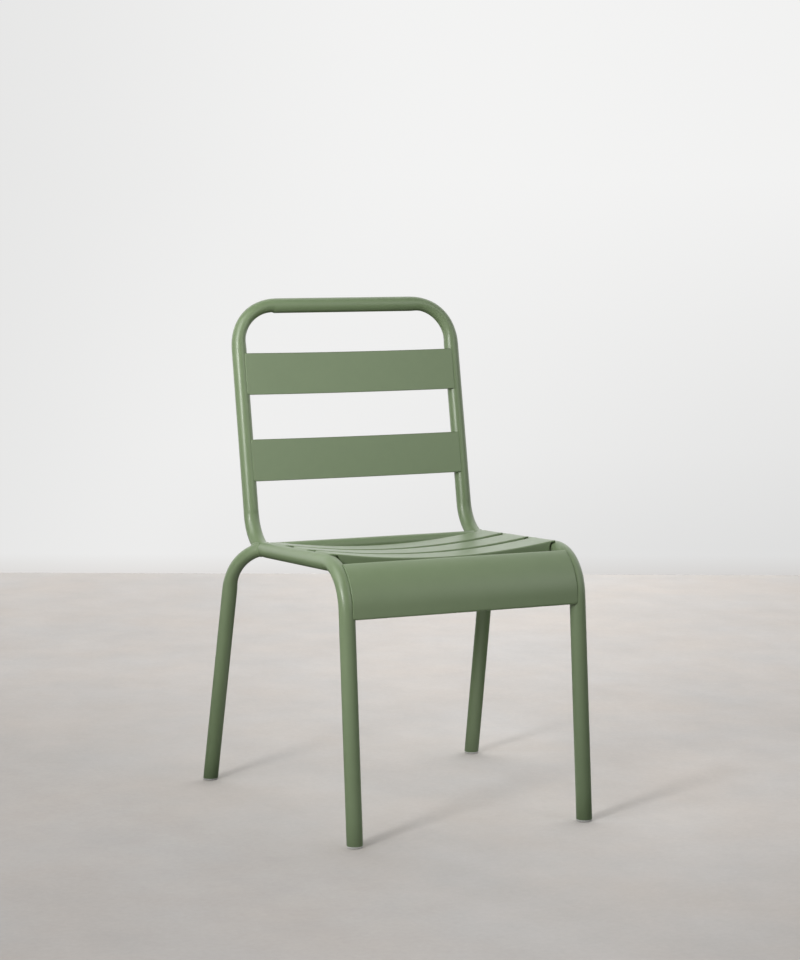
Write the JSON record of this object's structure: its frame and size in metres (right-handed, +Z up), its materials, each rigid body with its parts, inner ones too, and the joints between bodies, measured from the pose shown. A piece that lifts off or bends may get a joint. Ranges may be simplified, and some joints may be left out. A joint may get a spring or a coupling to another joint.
{
  "type": "garden chair",
  "caption": "Stacking garden chair of bent round tube with dished sheet seat slats, curved front apron, bowed back slats and plastic foot glides.",
  "frame": {"origin": "centre of the footprint on the floor", "axes": "+Z up; -Y the way the sitter faces; +X to the right of the chair as seen from its front"},
  "size_m": [0.5168, 0.547, 0.816],
  "materials": {
    "sage_powder_coat": "satin sage green powder coat on steel",
    "glide_plastic": "matte pale grey moulded plastic"
  },
  "bodies": {
    "root": {"main_frame_tube": "sage_powder_coat", "rear_leg_left": "sage_powder_coat", "rear_leg_right": "sage_powder_coat", "rear_crossbar": "sage_powder_coat", "upper_back_slat": "sage_powder_coat", "lower_back_slat": "sage_powder_coat", "seat_slat_rear": "sage_powder_coat", "seat_slat_middle": "sage_powder_coat", "seat_slat_front": "sage_powder_coat", "front_apron": "sage_powder_coat", "front_left_glide": "glide_plastic", "front_right_glide": "glide_plastic", "rear_left_glide": "glide_plastic", "rear_right_glide": "glide_plastic"}
  },
  "joints": []
}
